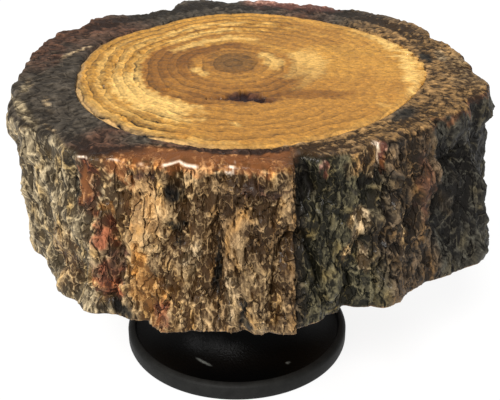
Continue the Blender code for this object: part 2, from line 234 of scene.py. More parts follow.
# Marks on the sawn bark, as (degrees, radius, half width, half depth, slant, tone)
CUT_MARKS = (
    (165, 19, 8.5, 0.22, 0.11, "tan"), (322, 18, 7, 0.8, 0, "charcoal"),
    (323, 17.9, 4, 0.5, 0, "black"), (12, 20.4, 5, 0.5, 0.05, "tan"),
    (11.3, 18.5, 4.6, 0.8, 0, "black"), (262, 19.1, 21, 0.35, 0, "rust"),
    (205, 21, 5, 0.14, 0.05, "tan"), (190, 22, 4, 0.14, -0.05, "tan"),
    (219, 22.8, 4, 0.14, 0.03, "tan"), (78, 21.6, 6, 0.8, 0, "rose"), (207, 23.4, 9, 0.55, 0, "grey"),
    (193, 22.3, 4, 0.4, 0.06, "grey"),
)

# The wood's growth and relief, in millimetres, with a smooth spot and the torn teeth's bearing
PITH = np.array([-0.4, 2.2])
RING_COUNT = 14.0
RING_HEIGHT = 0.16
GRAIN_HEIGHT = 0.035
PIT_DEPTH = 0.15
OUTER_DROP = 0.22
CALM_PLACE = np.array([-8.3, -7.2])
HEART_MIDDLE = np.array([-1.5, -0.6])
HEART_RADIUS = 7.5
TEETH_BEARING = 8.0
TEETH_SPREAD = 22.0
TEETH_LENGTH = 1.1
WOOD_SIDE_GAP = 0.15
WOOD_TONES = {
    "sap": (0.560, 0.275, 0.048),
    "heart": (0.360, 0.152, 0.025),
    "deep": (0.200, 0.075, 0.012),
    "eye": (0.170, 0.082, 0.021),
    "pale": (0.860, 0.530, 0.155),
    "plum": (0.085, 0.030, 0.016),
    "honey": (0.455, 0.207, 0.035),
    "fringe": (0.500, 0.340, 0.170),
}
# Bands that follow the rings, as (inner share, outer share, degrees, half width, tone, strength)
WOOD_BANDS = (
    (0, 0.6, 225, 95, "heart", 0.95), (0, 0.36, 20, 200, "heart", 0.8),
    (0.26, 0.36, 130, 60, "deep", 0.7), (0.3, 0.5, 178, 34, "deep", 0.65),
    (0.5, 0.57, 190, 50, "deep", 0.6), (0.16, 0.27, 225, 60, "honey", 0.8),
    (0.17, 0.28, 340, 60, "honey", 0.9), (0.19, 0.27, 12, 32, "pale", 0.75),
    (0.33, 0.5, 355, 32, "pale", 0.6), (0.3, 0.44, 40, 16, "sap", 0.6),
    (0.53, 0.64, 350, 26, "sap", 0.6), (0.4, 0.88, 52, 20, "heart", 0.6),
    (0.42, 0.5, 108, 34, "pale", 0.75), (0.51, 0.58, 112, 34, "heart", 0.7),
    (0.59, 0.66, 112, 30, "pale", 0.8), (0.67, 0.73, 115, 36, "heart", 0.6),
    (0.74, 0.8, 112, 30, "pale", 0.7), (0.82, 0.87, 115, 40, "heart", 0.4),
    (0.6, 0.8, 230, 32, "pale", 0.95), (0.6, 0.66, 185, 26, "pale", 0.5),
    (0.72, 0.77, 180, 40, "pale", 0.5), (0.84, 0.88, 190, 50, "pale", 0.55),
    (0.34, 0.62, 318, 26, "deep", 0.5), (0.5, 0.97, 295, 40, "honey", 0.95),
    (0.64, 0.9, 278, 14, "honey", 0.7), (0.55, 0.9, 335, 24, "honey", 0.5),
    (0.91, 0.99, 2, 26, "pale", 0.95), (0.93, 0.98, 235, 32, "pale", 0.5),
    (0, 0.1, 270, 200, "eye", 0.7), (0, 0.15, 270, 200, "eye", 0.55), (0.1, 0.2, 90, 55, "eye", 0.45),
)
# Marks on the wood, as (x, y, half width, half depth, tone, strength)
WOOD_MARKS = (
    (-3.9, 0.2, 0.7, 0.9, "pale", 0.8), (-3.2, -0.9, 0.7, 0.7, "pale", 0.6),
    (1.1, -7.3, 3.8, 1.5, "deep", 0.75), (-3, -6.6, 3, 1.1, "deep", 0.5),
    (7.6, -6.3, 4.4, 1.4, "deep", 0.75), (0.9, -6.6, 1.7, 1.3, "plum", 0.85),
    (3, -7.7, 1.6, 0.7, "plum", 0.6),
)
# Small chips torn out along the rings, as (x, y, half length, half width, depth)
CHIPS = (
    (-13.7, 7.3, 0.8, 0.35, 0.25), (-12.3, 2.7, 0.8, 0.35, 0.25), (-14.2, 0.9, 0.9, 0.3, 0.22),
    (-14.5, -3.1, 0.7, 0.35, 0.3), (-12.6, -4.3, 0.6, 0.4, 0.3), (-9.6, -3.7, 0.6, 0.4, 0.3),
    (-9.9, -12.2, 0.6, 0.4, 0.3), (-6.2, -12.6, 0.6, 0.35, 0.3), (-4.7, -16.1, 0.8, 0.35, 0.25),
    (-9.8, 5.4, 0.4, 0.7, 0.25), (-6.6, -5.2, 0.5, 0.35, 0.2), (1.4, 14.8, 0.5, 0.3, 0.2),
    (17.6, 4.9, 0.9, 0.35, 0.6), (18.6, 3.4, 1, 0.4, 0.7), (18.2, 0.4, 0.8, 0.3, 0.5),
    (17.3, 6.6, 0.8, 0.3, 0.4), (18.4, 1.8, 0.7, 0.25, 0.5),
)
# The crack across the pith wood, as (x, y, x, y, half width, darkness)
CRACK = (
    (-0.7, -7.2, 2.6, -7.2, 0.62, 1.0), (0.9, -7.0, 0.75, -5.4, 0.50, 1.0),
    (-2.6, -7.3, -0.4, -7.2, 0.22, 0.8), (1.8, -7.5, 3.3, -8.0, 0.42, 1.0),
    (1.2, -7.0, 2.9, -6.8, 0.34, 0.9), (-0.9, -7.0, 0.4, -6.4, 0.34, 0.8),
)
CRACK_DEPTH = 0.45

# The foot's turned shape, and the bores for the stud in the foot and the slice, in millimetres
FLANGE_RADIUS = 9.0
FLANGE_EDGE = 1.0
NECK_RADIUS = 6.0
NECK_HEIGHT = 8.6
FLARE_RADIUS = 11.4
FLARE_HEIGHT = 1.5
DULL_RADIUS = 11.7
FOOT_ARC_STEPS = 24
FLARE_ARC_STEPS = 72
BORE_RADIUS = 2.3
FOOT_BORE_BOTTOM = 4.7
AXIS_GAP = 0.5
FLARE_TOP = 4.0
BEAD_TOP = 2.0
SLICE_BORE_TOP = 23.3

# The foot's flange edge, and the bead round its rim down to its underside, as (radius, height)
FLANGE_CORNER = ((8.7, FOOT_TOP), (8.9, FOOT_TOP - 0.08), (FLANGE_RADIUS, FOOT_TOP - 0.3))
FOOT_BEAD = (
    (11.48, 1.62), (11.52, 1.8), (11.6, 1.9), (11.75, 1.92), (11.95, 1.88), (12.15, 1.76),
    (12.29, 1.6), (FOOT_RADIUS, 1.42), (FOOT_RADIUS, 0.9), (FOOT_RADIUS, 0.35), (12.27, 0.12),
    (12.1, 0.02), (11.9, 0.0), (NECK_RADIUS, 0.0), (AXIS_GAP, 0.0),
)

# Painted reflections: pale arcs on the foot's flare, as (degrees, radius, half width in degrees, half
# depth, slant)
PAINTED_REFLECTIONS = ((247.5, 9.16, 7.0, 0.12, 0.03), (304.0, 9.85, 1.6, 0.16, 0.0))

# The photograph's camera, in millimetres and pixels of its 500 by 400 frame
CAMERA_PLACE = (1.47, -100.0, 70.4)
CAMERA_TILT = 28.0
FOCAL_PIXELS = 1057.0
IMAGE_WIDTH = 500.0
SENSOR_WIDTH = 36.0
NEAREST_SEEN = 0.005

# The lights face one point, as (name, place, which power, share of it, width, colour), in metres
AIM = (0.0, 0.0, 0.02)
WHITE = (1.0, 1.0, 1.0)
LIGHTS = (
    ("key", (-0.22, -0.95, 0.95), "key_power", 1.0, 0.35, (1.0, 0.985, 0.97)),
    ("back", (0.35, 0.45, 1.10), "key_power", 0.12, 0.60, WHITE),
    ("near_window", (-0.80, -1.05, 0.95), "window_power", 1.0, 0.14, WHITE),
    ("far_window", (-1.30, -0.45, 0.95), "window_power", 1.0, 0.14, WHITE),
)


def span_ease(value, low, high):
    """Ease from 0 at low to 1 at high."""
    share = np.clip((value - low) / (high - low), 0.0, 1.0)
    return share * share * (3.0 - 2.0 * share)


def turned_from(bearing, middle):
    """Degrees from one bearing to another, between -180 and 180."""
    return (bearing - middle + 180.0) % 360.0 - 180.0


def outline(points, bearing):
    """Radii of a closed outline at some bearings, on a smooth curve through its points."""
    at = np.array([point[0] for point in points], float)
    radius = np.array([point[1] for point in points], float)
    bearing = np.asarray(bearing, float) % 360.0
    index = np.searchsorted(at, bearing, side="right") - 1
    before, start, end, after = [(index + step) % len(points) for step in (-1, 0, 1, 2)]
    span = (at[end] - at[start]) % 360.0
    share = ((bearing - at[start]) % 360.0) / span
    slope_in = (radius[end] - radius[before]) / ((at[start] - at[before]) % 360.0 + span) * span
    slope_out = (radius[after] - radius[start]) / (span + (at[after] - at[end]) % 360.0) * span
    square = share * share
    cube = square * share
    return (
        (2.0 * cube - 3.0 * square + 1.0) * radius[start]
        + (cube - 2.0 * square + share) * slope_in
        + (3.0 * square - 2.0 * cube) * radius[end]
        + (cube - square) * slope_out
    )


def noise_at(places, size, shift=0.0):
    """Smooth noise, about -0.7 to 0.7, in patches of a size in millimetres.

    Each layer has a shift of its own, so that no two layers repeat each other.
    """
    scaled = places / np.asarray(size, float) + shift
    flat = scaled.reshape(-1, 3).tolist()
    return np.array([noise.noise(place) for place in flat]).reshape(places.shape[:-1])


def ridges_at(places, size, narrowness, shift=0.0):
    """Narrow winding lines: 1 along them and 0 away from them."""
    return np.clip(1.0 - np.abs(noise_at(places, size, shift)) * narrowness, 0.0, 1.0)


def cells_at(places, size, shift=0.0):
    """How far each place is from the border of its cell, and a number from 0 to 1 for the cell."""
    scaled = places / np.asarray(size, float) + shift
    border = []
    middles = []
    for place in scaled.reshape(-1, 3).tolist():
        distances, points = noise.voronoi(place)
        border.append(distances[1] - distances[0])
        middles.append(tuple(points[0]))
    key = np.abs(np.sin(np.array(middles) @ np.array([12.99, 78.23, 37.72]))) * 437.58
    shape = places.shape[:-1]
    return np.array(border).reshape(shape), (key % 1.0).reshape(shape)


def warped(places, size, reach, shift):
    """Places pushed about by noise, so that lines drawn on them wander."""
    push = [noise_at(places, size, shift + 17.3 * axis) for axis in range(3)]
    return places + reach * np.stack(push, axis=-1)


def round_point(middle, bearing, radius, height):
    """Points round an upright line."""
    angle = np.radians(bearing)
    x = middle[0] + radius * np.cos(angle)
    y = middle[1] + radius * np.sin(angle)
    return np.stack([x, y, np.broadcast_to(height, x.shape)], axis=-1)


def round_slice(bearing, radius, height):
    """Points round the middle of the slice."""
    return round_point(MIDDLE, bearing, radius, height)


def mounds(marks, bearing, height, power):
    """Sum of soft patches, the squarer the higher the power."""
    total = np.zeros(np.broadcast(bearing, height).shape)
    for middle, level, half_width, half_height, amount in marks:
        across = turned_from(bearing, middle) / half_width
        along = (height - level) / half_height
        total += amount * np.exp(-(across ** 2) - along ** power)
    return total


def spot(across, along, low, high, ragged=0.0):
    """1 in the middle of an oval mark, easing to 0 past its border."""
    return 1.0 - span_ease(np.hypot(across, along) + ragged, low, high)


def between(value, start, full, fading, gone):
    """Ease from 0 at start to 1 at full, and back to 0 from fading to gone."""
    return span_ease(value, start, full) * span_ease(-value, -gone, -fading)


def inside(value, low, high, soft):
    """1 between two numbers, easing to 0 outside them."""
    return between(value, low - soft, low + soft, high - soft, high + soft)


def hollows(bearing, height):
    """Depth of the named deep places and of the step, less the swells."""
    past = turned_from(bearing, STEP_BEARING)
    step = np.where(past > 0.0, STEP_DEPTH * np.exp(-np.abs(past) / STEP_RECOVERY), 0.0)
    return mounds(HOLLOWS, bearing, height, 4) + step


def plain_radius(bearing, height):
    """Radius of the slice without relief, straight from its lower to its upper outline."""
    under = outline(UNDER_EDGE, bearing)
    return under + (outline(TOP_EDGE, bearing) - under) * ((height - UNDER) / THICKNESS)


def wall_radius(bearing, height):
    """Radius of the bark's outside, with its main relief."""
    share = (height - UNDER) / THICKNESS
    radius = plain_radius(bearing, height)
    angle = np.radians(bearing)
    x = np.cos(angle) * radius
    y = np.sin(angle) * radius
    height = np.broadcast_to(height, x.shape)
    rib = noise_at(np.stack([x, y, height * RIB_STRETCH], axis=-1), RIB_WIDTH)
    across = np.stack([y, x, height * FURROW_STRETCH], axis=-1)
    line = ridges_at(across, FURROW_SPACING, FURROW_NARROWNESS)
    plate = noise_at(np.stack([x, y, height], axis=-1), PLATE_SIZE)
    relief = RIB_HEIGHT * rib + PLATE_HEIGHT * plate - FURROW_DEPTH * line ** 2
    strength = EDGE_SHARE + (1.0 - EDGE_SHARE) * (1.0 - np.abs(2.0 * share - 1.0) ** 4)
    return radius + strength * relief - hollows(bearing, height)


def cut_height(bearing, radius, share):
    """Height of the bark's sawn ring, as the solid has it."""
    places = round_slice(bearing, radius, 0.0)
    rough = noise_at(places, RIB_WIDTH)
    drop = CUT_DROP * (1.0 - 0.85 * between(bearing, *BACK_OF_CUT))
    return TOP - drop * (0.4 + share) + CUT_ROUGHNESS * rough * share


def mix(first, second, share):
    """Blend colours, or pairs of colours, by one share for each place."""
    spread = np.reshape(share, np.shape(share) + (1,) * (np.ndim(first) - np.ndim(share)))
    return first + (second - first) * spread


def stops_round(stops, bearing):
    """Numbers all round, blended between stops of (degrees, number)."""
    at, value = zip(*sorted(stops))
    at = (at[-1] - 360.0, *at, at[0] + 360.0)
    return np.interp(bearing % 360.0, at, (value[-1], *value, value[0]))


def tones_round(stops, bearing, column):
    """Tone colours all round, blended between stops of (degrees, tone...)."""
    parts = [
        stops_round([(stop[0], TONES[stop[column]][side][part]) for stop in stops], bearing)
        for side in range(2) for part in range(3)
    ]
    return np.stack(parts, axis=-1).reshape(*bearing.shape, 2, 3)


def closed_grid(name, places, capped=False):
    """A mesh from a grid of points that wraps round, and either wraps along too or has two caps."""
    rows, columns = places.shape[:2]
    index = np.arange(rows * columns).reshape(rows, columns)
    after = np.roll(index, -1, axis=1)
    corners = [index, np.roll(index, -1, axis=0), np.roll(after, -1, axis=0), after]
    quads = np.stack(corners, axis=-1)[:rows - 1 if capped else rows].reshape(-1, 4)
    caps = [index[0][::-1], index[-1]] if capped else []
    loops = np.concatenate([quads.ravel(), *caps])
    starts = np.concatenate(
        [np.arange(len(quads)) * 4, len(quads) * 4 + np.arange(len(caps)) * columns]
    )
    mesh = bpy.data.meshes.new(name)
    mesh.vertices.add(rows * columns)
    mesh.vertices.foreach_set("co", (places.reshape(-1, 3) * MM).ravel())
    mesh.loops.add(len(loops))
    mesh.loops.foreach_set("vertex_index", loops.astype(np.int32))
    mesh.polygons.add(len(starts))
    mesh.polygons.foreach_set("loop_start", starts.astype(np.int32))
    mesh.update(calc_edges=True)
    mesh.validate()
    return mesh


def add_numbers(mesh, **layers):
    """Store numbers at every point."""
    for name, values in layers.items():
        layer = mesh.attributes.new(name, "FLOAT", "POINT")
        layer.data.foreach_set("value", np.asarray(values, np.float32).ravel())


def add_colours(mesh, **layers):
    """Store colours at every point."""
    for name, values in layers.items():
        layer = mesh.attributes.new(name, "FLOAT_COLOR", "POINT")
        values = np.clip(values.reshape(-1, 3), 0.0, 1.0)
        full = np.concatenate([values, np.ones((len(values), 1))], axis=1)
        layer.data.foreach_set("color", full.astype(np.float32).ravel())


def add_object(name, data):
    """A new object in the scene."""
    made = bpy.data.objects.new(name, data)
    bpy.context.scene.collection.objects.link(made)
    return made


def add_piece(name, mesh, material, nodes, smooth_angle):
    """Put a piece in the scene, on the part's one body, in place of some nodes."""
    mesh.materials.append(material)
    mesh.shade_smooth()
    mesh.set_sharp_from_angle(angle=math.radians(smooth_angle))
    piece = add_object(name, mesh)
    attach(piece, "root")
    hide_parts(*nodes)


class Tree:
    """A material's nodes, added and linked by short calls."""

    def __init__(self, name):
        self.material = bpy.data.materials.new(name)
        self.material.use_nodes = True
        self.nodes = self.material.node_tree.nodes
        self.links = self.material.node_tree.links
        self.shader = self.nodes["Principled BSDF"]

    def add(self, kind, sockets=None, **settings):
        """Add a node, set its properties, and set or link its sockets."""
        node = self.nodes.new(kind)
        for name, value in settings.items():
            setattr(node, name, value)
        for name, value in (sockets or {}).items():
            self.feed(node.inputs[name], value)
        return node

    def feed(self, socket, value):
        """Link an output to a socket, or set the socket's value."""
        if isinstance(value, bpy.types.NodeSocket):
            self.links.new(value, socket)
        else:
            socket.default_value = value

    def number(self, name):
        """A number stored on the mesh."""
        return self.add("ShaderNodeAttribute", attribute_name=name).outputs["Fac"]

    def colour(self, name):
        """A colour stored on the mesh."""
        return self.add("ShaderNodeAttribute", attribute_name=name).outputs["Color"]

    def places(self, stretch=1.0, shift=0.0):
        """Object coordinates in metres, stretched upright and shifted."""
        sockets = {
            "Vector": self.add("ShaderNodeTexCoord").outputs["Object"],
            "Scale": (1.0, 1.0, stretch), "Location": (shift, shift, shift),
        }
        return self.add("ShaderNodeMapping", sockets).outputs["Vector"]

    def clouds(self, places, per_metre, detail, roughness, output="Fac"):
        """Noise from 0 to 1."""
        sockets = {"Vector": places, "Scale": per_metre, "Detail": detail, "Roughness": roughness}
        return self.add("ShaderNodeTexNoise", sockets).outputs[output]

    def grain(self, per_metre, detail=3.0, roughness=0.6, stretch=1.0):
        """Noise on the object's own coordinates."""
        return self.clouds(self.places(stretch), per_metre, detail, roughness)

    def threads(self, per_metre, width, stretch=1.0, shift=0.0):
        """Thin winding lines: 1 along them and 0 away from them."""
        push = self.clouds(self.places(), 0.9 * per_metre, 2.0, 0.5, "Color")
        reach = self.add("ShaderNodeVectorMath", {0: push, "Scale": 0.7 / per_metre}, operation="SCALE")
        moved = self.add("ShaderNodeVectorMath", {0: self.places(stretch, shift), 1: reach.outputs[0]})
        made = self.clouds(moved.outputs[0], per_metre, 1.0, 0.4)
        apart = self.work_out("ABSOLUTE", self.work_out("SUBTRACT", made, 0.5))
        return self.remap(apart, width, 0.0)

    def work_out(self, operation, first, second=0.0):
        """Arithmetic on one or two numbers."""
        made = self.add("ShaderNodeMath", {0: first, 1: second}, operation=operation)
        return made.outputs[0]

    def plus(self, first, second):
        """Two numbers added."""
        return self.work_out("ADD", first, second)

    def times(self, first, second):
        """Two numbers multiplied."""
        return self.work_out("MULTIPLY", first, second)

    def total(self, *parts):
        """The sum of some (number, weight)."""
        made = self.times(*parts[0])
        for part in parts[1:]:
            made = self.plus(made, self.times(*part))
        return made

    def remap(self, value, low, high, to_low=0.0, to_high=1.0):
        """Stretch a range of numbers to another."""
        sockets = {
            "Value": value, "From Min": low, "From Max": high, "To Min": to_low, "To Max": to_high,
        }
        return self.add("ShaderNodeMapRange", sockets).outputs["Result"]

    def spread(self, noise_made, low, high):
        """Stretch the range that most noise falls in to another."""
        return self.remap(noise_made, 0.3, 0.7, low, high)

    def blend(self, share, first, second, blend_type="MIX"):
        """Mix two colours."""
        node = self.add("ShaderNodeMix", data_type="RGBA", blend_type=blend_type)
        for index, value in ((0, share), (6, first), (7, second)):
            self.feed(node.inputs[index], value)
        return node.outputs[2]

    def grey(self, value):
        """A number as a grey colour."""
        sockets = {"Red": value, "Green": value, "Blue": value}
        return self.add("ShaderNodeCombineColor", sockets).outputs["Color"]

    def bump(self, height, distance):
        """Fine relief of a height in metres, as a normal."""
        return self.add("ShaderNodeBump", {"Height": height, "Distance": distance}).outputs["Normal"]

    def finish(self, colour, roughness, normal=None, constants=None):
        """Feed the shader and return the material."""
        self.feed(self.shader.inputs["Base Color"], colour)
        self.feed(self.shader.inputs["Roughness"], roughness)
        if normal is not None:
            self.feed(self.shader.inputs["Normal"], normal)
        for name, value in (constants or {}).items():
            self.shader.inputs[name].default_value = value
        return self.material


def bark_finish(look):
    """Lacquered bark: dark in its hollows, light on its ridges, with curled threads on both."""
    tree = Tree("lacquered_bark")
    broken = tree.remap(tree.grain(900.0, detail=1.0), 0.44, 0.6)
    curl = tree.times(tree.threads(520.0, 0.05, stretch=0.6), broken)
    thread = tree.threads(1300.0, 0.05, stretch=0.55)
    crack = tree.threads(640.0, 0.03, stretch=0.32, shift=3.0)
    speck = tree.grain(5200.0, detail=3.0, roughness=0.7)
    wild = tree.remap(tree.number("worn"), 0.0, 1.5, 1.0, 0.0)
    lift = tree.times(tree.total((curl, 0.9), (thread, 0.45), (crack, -0.42)), wild)
    lift = tree.plus(tree.number("relief"), lift)
    lift = tree.plus(lift, tree.spread(speck, -0.16, 0.16))
    share = tree.remap(lift, 0.15, 1.0)
    colour = tree.blend(share, tree.colour("hollow_tone"), tree.colour("ridge_tone"))
    rough = tree.spread(speck, look.bark_gloss, look.bark_gloss + 0.28)
    rough = tree.plus(rough, tree.times(tree.number("polish"), -0.3))
    height = tree.total((curl, 0.9), (thread, 0.45), (crack, -1.0), (speck, 0.3))
    height = tree.times(height, wild)
    normal = tree.bump(height, 0.00017)
    return tree.finish(colour, rough, normal, {
        "Specular IOR Level": 0.2, "Specular Tint": (1.0, 0.9, 0.78, 1.0), "Coat Weight": 0.05,
        "Coat Roughness": 0.14,
    })


def wood_finish(look):
    """Sawn end grain: growth rings, fine fibres and lacquer."""
    tree = Tree("lacquered_wood")
    wander = tree.grain(420.0, detail=2.0)
    ring = tree.plus(tree.number("ring"), tree.spread(wander, -0.08, 0.08))
    part = tree.work_out("FRACT", ring)
    late = tree.times(tree.remap(part, 0.3, 0.92), tree.remap(part, 1.0, 0.93))
    late = tree.times(late, tree.remap(tree.grain(700.0, detail=3.0), 0.36, 0.62, 0.45, 1.15))
    fine_part = tree.work_out("FRACT", tree.times(ring, 3.0))
    hair = tree.times(tree.remap(fine_part, 0.4, 0.8), tree.remap(fine_part, 1.0, 0.85))
    lines = tree.times(tree.total((late, 0.5), (hair, 0.14)), tree.number("ring_strength"))
    mottle = tree.grain(1500.0, detail=4.0, roughness=0.65)
    speck = tree.grain(4200.0, detail=2.0, roughness=0.6)
    light = tree.work_out("SUBTRACT", tree.spread(mottle, 0.76, 1.24), lines)
    light = tree.times(light, tree.spread(speck, 0.82, 1.18))
    colour = tree.blend(1.0, tree.colour("wood_tone"), tree.grey(light), "MULTIPLY")
    # Darkening in the pits, chips and crack: partly stain, partly painted shade
    colour = tree.blend(tree.number("stain"), colour, (0.010, 0.003, 0.005, 1.0))
    roughness = tree.spread(mottle, look.wood_gloss, look.wood_gloss + 0.2)
    normal = tree.bump(tree.plus(mottle, tree.times(speck, 0.4)), 0.00016)
    return tree.finish(colour, roughness, normal, {"Specular IOR Level": 0.22, "Coat Weight": 0.05})


def paint_finish(look):
    """Black paint on turned metal, dull with dust on the rim and glossy inside it, with painted
    reflection arcs on the flare.
    """
    tree = Tree("foot_black_paint")
    dust = tree.grain(900.0, detail=4.0)
    dull = tree.number("dull")
    dusty = tree.times(dull, tree.spread(dust, 0.6, 1.0))
    colour = tree.blend(dusty, (*look.paint_colour, 1.0), (*look.rim_colour, 1.0))
    # Pale arcs on the flare: painted reflections
    colour = tree.blend(tree.number("gleam"), colour, (*look.gleam_colour, 1.0))
    roughness = tree.remap(dull, 0.0, 1.0, 0.3, 0.5)
    roughness = tree.plus(roughness, tree.spread(dust, 0.0, 0.06))
    normal = tree.bump(tree.grain(5200.0, detail=2.0), 0.00003)
    return tree.finish(colour, roughness, normal, {"Specular IOR Level": 0.08})


def steel_finish():
    """Plain bright steel with fine turning marks."""
    tree = Tree("stud_steel")
    marks = tree.grain(900.0, stretch=14.0)
    colour = tree.blend(marks, (0.42, 0.42, 0.43, 1.0), (0.62, 0.62, 0.63, 1.0))
    return tree.finish(colour, tree.spread(marks, 0.25, 0.45), constants={"Metallic": 1.0})


def bark_surface(bearings, look):
    """Radius, height, tilt in degrees and share of the way out from the wood, row by row."""
    wood = outline(WOOD_EDGE, bearings)
    rim_level = TOP - RIM_ROUNDING
    foot_level = UNDER + UNDER_ROUNDING
    rim = wall_radius(bearings, rim_level)
    rounder = 1.0 + 1.1 * between(bearings, *ROUNDED_RIM)
    rounder -= 0.75 * between(bearings, *BACK_OF_RIM)
    bevel = np.minimum(RIM_ROUNDING * rounder, np.maximum(rim - wood - 0.6, 0.3))
    rows = [(wood - TUCK, np.full_like(wood, TOP - 0.9), 90.0, 0.0)]
    rows.append((wood + 0.05, np.full_like(wood, TOP - 0.5), 90.0, 0.0))
    for share in np.linspace(0.04, 1.0, look.cut_rows):
        level = cut_height(bearings, wood + (rim - bevel - wood) * share, share)
        level = level - 0.12 * np.exp(-share * 14.0)
        rows.append((wood + (rim - bevel - wood) * share, level, 90.0, share))
    shoulder = rows[-1][1]
    for step in range(1, look.rim_rows + 1):
        turn = math.pi / 2.0 * step / (look.rim_rows + 1)
        radius = rim - bevel + bevel * math.sin(turn)
        level = rim_level + (shoulder - rim_level) * math.cos(turn)
        rows.append((radius, level, 90.0 - math.degrees(turn), 1.0))
    for level in np.linspace(rim_level, foot_level, look.wall_rows):
        rows.append((wall_radius(bearings, level), np.full_like(wood, level), 0.0, 1.0))
    lowest = rows[-1][0]
    for share in (0.3, 0.7, 1.0):
        level = foot_level - (foot_level - UNDER) * share
        rows.append((lowest - 0.35 * share ** 2, np.full_like(wood, level), -90.0 * share, 1.0))
    edge = rows[-1][0]
    for share in np.linspace(0.14, 1.0, 7):
        radius = edge + (wood - 0.3 - edge) * share
        rows.append((radius, np.full_like(wood, UNDER), -90.0, 1.0 - share))
    rows.append((wood - TUCK, np.full_like(wood, UNDER + 1.0), 180.0, 0.0))
    return rows


def fine_bark(places, ribbed, look):
    """Relief of the fine bark in millimetres, and how light each place is."""
    wandering = warped(places, 2.2, 0.9, 3.0)
    border, key = cells_at(wandering, FLAKE_SIZE, 5.0)
    edge = np.clip(border * 7.0, 0.0, 1.0)
    flake = (key - 0.5) * edge * np.clip(1.0 - 0.6 * ribbed, 0.1, 1.0)
    curl = ridges_at(wandering, CURL_SIZE, 8.0, 9.0)
    small = ridges_at(warped(places, 0.9, 0.5, 21.0), SMALL_CURL_SIZE, 7.0, 31.0)
    split = ridges_at(warped(places, 1.6, 0.5, 27.0), SPLIT_SIZE, 11.0, 37.0)
    rib = noise_at(warped(places, 1.8, 0.4, 43.0), FINE_RIB_SIZE, 47.0) * ribbed
    grain = noise_at(places, GRAIN_SIZE, 41.0)
    patch = noise_at(warped(places, 3.0, 1.2, 53.0), PATCH_SIZE, 57.0)
    raised = (flake, curl, small, split, grain, rib)
    height = sum(share * layer for share, layer in zip(BARK_HEIGHTS, raised))
    bright = (flake, curl ** 2, small ** 2, split, grain, rib)
    light = sum(share * layer for share, layer in zip(BARK_LIGHTS, bright))
    light = BARK_LIGHT + light * np.clip(1.0 + 1.1 * patch, 0.45, 1.4) + 0.18 * patch
    return height * look.bark_relief, light - 0.12 * (1.0 - edge)


def cut_relief(places, bearing):
    """Torn fibres and streaks on the bark's sawn ring, and how light each place is."""
    angle = np.radians(bearing)
    out = places[..., 0] * np.cos(angle) + places[..., 1] * np.sin(angle)
    along = np.stack([out * 2.4, bearing * 0.22, np.zeros_like(out)], axis=-1)
    streak = ridges_at(warped(along, 2.0, 0.9, 7.0), (1.0, 1.6, 1.0), 8.0, 13.0)
    rough = noise_at(places, 0.8, 23.0)
    grain = noise_at(places, 0.33, 29.0)
    height = 0.08 * streak + 0.16 * rough + 0.06 * grain
    return height, 0.34 + 0.42 * streak + 0.3 * rough + 0.4 * grain


def wall_tones(bearing, height, places):
    """Hollow and ridge colours over the bark's wall, with its named marks."""
    drift = 5.0 * noise_at(places, (2.6, 2.6, 5.0), 51.0)
    drift = drift * span_ease(np.abs(turned_from(bearing, STEP_BEARING)), 0.5, 9.0)
    colours = tones_round(WALL_TONES, bearing + drift, 1)
    ragged_turn = 1.6 * noise_at(places, 1.1, 61.0) + 1.2 * noise_at(places, 0.5, 65.0)
    ragged_height = 0.9 * noise_at(places, 1.1, 71.0) + 0.5 * noise_at(places, 0.5, 75.0)
    broken = np.clip(0.92 + 1.0 * noise_at(places, (0.6, 0.6, 1.2), 78.0), 0.3, 1.0)
    for middle, level, half_width, half_height, tone in WALL_MARKS:
        across = (turned_from(bearing, middle) + ragged_turn) / half_width
        along = (height - level + ragged_height) / half_height
        colours = mix(colours, TONES[tone], broken * spot(across, along, 0.7, 1.2))
    warmth = np.maximum(noise_at(places, (1.1, 1.1, 1.8), 83.0), -0.05)[..., None, None]
    return colours * (1.0 + warmth * np.array([0.3, 0.05, -0.45]))


def cut_tones(bearing, share, places):
    """Hollow and ridge colours over the bark's sawn ring, with its named marks."""
    drift = 4.0 * noise_at(places, 2.2, 81.0)
    inner = tones_round(CUT_TONES, bearing + drift, 1)
    outer = tones_round(CUT_TONES, bearing + drift, 2)
    place = span_ease(share + 0.35 * noise_at(places, 1.6, 91.0), 0.4, 0.75)
    colours = mix(inner, outer, place)
    radius = np.linalg.norm(places[..., :2] - MIDDLE, axis=-1)
    ragged = 0.35 * noise_at(places, 0.6, 95.0)
    for middle, distance, half_width, half_depth, slant, tone in CUT_MARKS:
        turn = turned_from(bearing, middle)
        along = (radius - distance - slant * turn) / half_depth
        amount = spot(turn / half_width, along, 0.6, 1.2, ragged)
        colours = mix(colours, TONES[tone], amount)
    return colours


def rim_wear(bearing, tilt):
    """How worn the front of the rim is, and how smooth its lacquered stretches are, where the painted
    highlight strokes also go.
    """
    worn = between(tilt, *WORN_TILT) * between(bearing, *WORN_RIM)
    return worn, worn * sum(inside(turned_from(bearing, at), -half, half, 0.6) for at, half in GLAZED)


def bark_shade(bearing, level, radius, upward):
    """Painted shade in the recesses below the outline that the ribs reach, with less of it on the sawn
    ring's sides.
    """
    reach = plain_radius(bearing, level)
    shade = RECESS_SHADE * np.clip(reach - radius, -0.6, 1.6)
    shade = np.where(np.abs(radius - reach) < 3.0, shade, 0.0)
    shade_taken_off = np.max([
        share * inside(turned_from(bearing, middle), back, on, 8.0)
        for middle, back, on, share in LESS_SHADED_SIDES
    ], axis=0)
    return shade * (1.0 - shade_taken_off * span_ease(upward, 0.2, 0.7))


def bark_colours(bearing, level, places, share, sawn, upward):
    """Hollow and ridge colours all over the bark."""
    around = wall_tones(bearing, level, places)
    colours = mix(around, cut_tones(bearing, np.broadcast_to(share, bearing.shape), places), sawn)
    return np.where((upward < -0.3)[..., None, None], TONES["brown"], colours)


